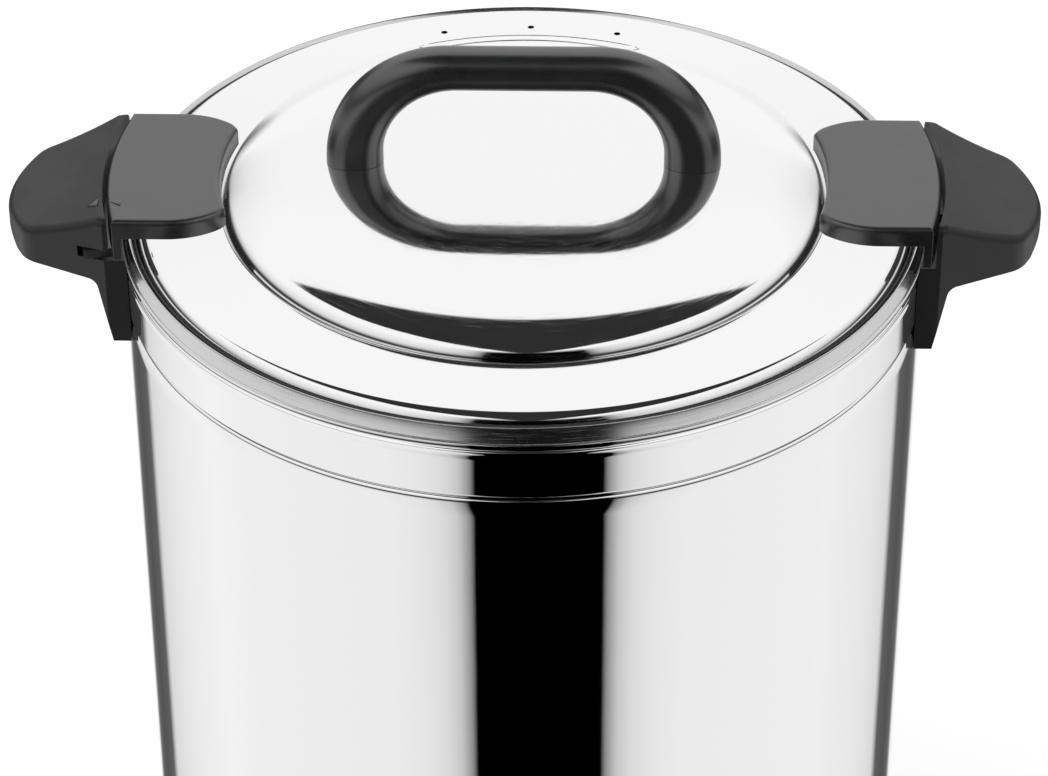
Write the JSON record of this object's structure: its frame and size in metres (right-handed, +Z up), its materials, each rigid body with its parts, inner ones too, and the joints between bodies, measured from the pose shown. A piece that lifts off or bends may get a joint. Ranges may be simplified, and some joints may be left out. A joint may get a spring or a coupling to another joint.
{
  "type": "hot water urn",
  "caption": "Upright steel hot water urn with a twist-lock domed lid, side handles, lever tap, sight gauge and a heated base with knob and rocker switch.",
  "frame": {"origin": "on the floor, in the middle of the box that holds the urn; the urn's own axis is parallel to Z and stands 27.3 mm towards +Y of it", "axes": "+Z up; -Y towards the tap and the control panel; +X to the right of someone facing the tap"},
  "size_m": [0.3724, 0.3726, 0.5101],
  "materials": {
    "casing_steel": "polished stainless sheet",
    "tank_steel": "satin stainless sheet",
    "lid_steel": "polished stainless sheet",
    "silicone": "translucent white silicone",
    "black_plastic": "heat-resistant black moulding, fine texture",
    "black_gloss": "glossy black moulding",
    "screw_steel": "plain stainless fasteners",
    "zinc_steel": "zinc-plated sheet",
    "tap_chrome": "chrome plated brass",
    "tap_brass": "bare brass",
    "gauge_glass": "clear tube",
    "base_plastic": "heat-resistant black moulding",
    "fascia_steel": "brushed stainless plate",
    "control_plastic": "dark phenolic moulding",
    "switch_red": "translucent red rocker",
    "lens_red": "clear red lens",
    "lens_green": "clear green lens",
    "plate_aluminium": "cast aluminium",
    "element_steel": "heat-tinted sheath",
    "button_red": "red push button",
    "foot_rubber": "black rubber",
    "terminal_white": "white moulding"
  },
  "bodies": {
    "urn": {"outer_casing": "casing_steel", "inner_tank": "tank_steel", "side_handle_right": "black_plastic", "side_handle_left": "black_plastic", "side_handle_screws": "screw_steel", "handle_backing_plates": "zinc_steel", "tap_body": "tap_chrome", "tap_outer_washer": "silicone", "tap_inner_washer": "silicone", "tap_nut": "tap_brass", "tap_bonnet": "tap_chrome", "tap_spring": "screw_steel", "tap_lever_pin": "screw_steel", "gauge_tube": "gauge_glass", "gauge_lower_nut": "tap_chrome", "gauge_lower_seal": "silicone", "gauge_guard": "tap_chrome", "gauge_top_cap": "black_plastic", "gauge_cap_screw": "screw_steel", "base_housing": "base_plastic", "bottom_cover": "zinc_steel", "bottom_cover_screws": "screw_steel", "rubber_feet": "foot_rubber", "foot_screws": "screw_steel", "support_ring": "zinc_steel", "control_fascia": "fascia_steel", "thermostat_body": "control_plastic", "rocker_switch_body": "black_gloss", "lamp_power": "lens_red", "lamp_ready": "lens_green", "heater_plate": "plate_aluminium", "heater_element": "element_steel", "thermal_cutout": "control_plastic", "sensor_bulb": "tap_brass", "terminal_block": "terminal_white", "cable_gland": "black_gloss", "gland_nut": "black_gloss"},
    "lid": {"lid_shell": "lid_steel", "lid_seal": "silicone", "lid_handle": "black_plastic", "lid_handle_screws": "screw_steel", "lid_handle_washers": "screw_steel", "lid_wing_right": "black_plastic", "lid_wing_left": "black_plastic", "lid_wing_screws": "screw_steel"},
    "tap_lever": {"tap_lever": "black_plastic"},
    "tap_valve": {"tap_stem": "tap_brass", "tap_seat": "silicone"},
    "knob": {"thermostat_knob": "black_gloss", "thermostat_shaft": "tap_brass"},
    "rocker": {"rocker_button": "switch_red"},
    "reset": {"reset_button": "button_red"}
  },
  "joints": [
    {"name": "lid_turn", "type": "hinge", "parent": "urn", "child": "lid", "pos_m": [0, 0.0273, 0.45], "axis": [0, 0, 1], "range_deg": [0, 18]},
    {"name": "lever_tilt", "type": "hinge", "parent": "urn", "child": "tap_lever", "pos_m": [0, -0.1782, 0.171], "axis": [1, 0, 0], "range_deg": [0, 30]},
    {"name": "valve_lift", "type": "slide", "parent": "urn", "child": "tap_valve", "axis": [0, 0, 1], "range_m": [0, 0.00392], "stiffness_N_per_m": 300, "springref_m": -0.004, "deforming": ["tap_spring"]},
    {"name": "knob_turn", "type": "hinge", "parent": "urn", "child": "knob", "pos_m": [-0.044, -0.1327, 0.045], "axis": [0, -1, 0], "range_deg": [0, 270]},
    {"name": "rocker_tilt", "type": "hinge", "parent": "urn", "child": "rocker", "pos_m": [0.046, -0.1312, 0.045], "axis": [1, 0, 0], "range_deg": [0, 12]},
    {"name": "reset_press", "type": "slide", "parent": "urn", "child": "reset", "axis": [0, 0, 1], "range_m": [0, 0.0015], "stiffness_N_per_m": 600, "springref_m": -0.001}
  ],
  "couplings": [
    {"joint": "lever_tilt", "follows": "valve_lift", "rad_per_m": 133.33}
  ]
}
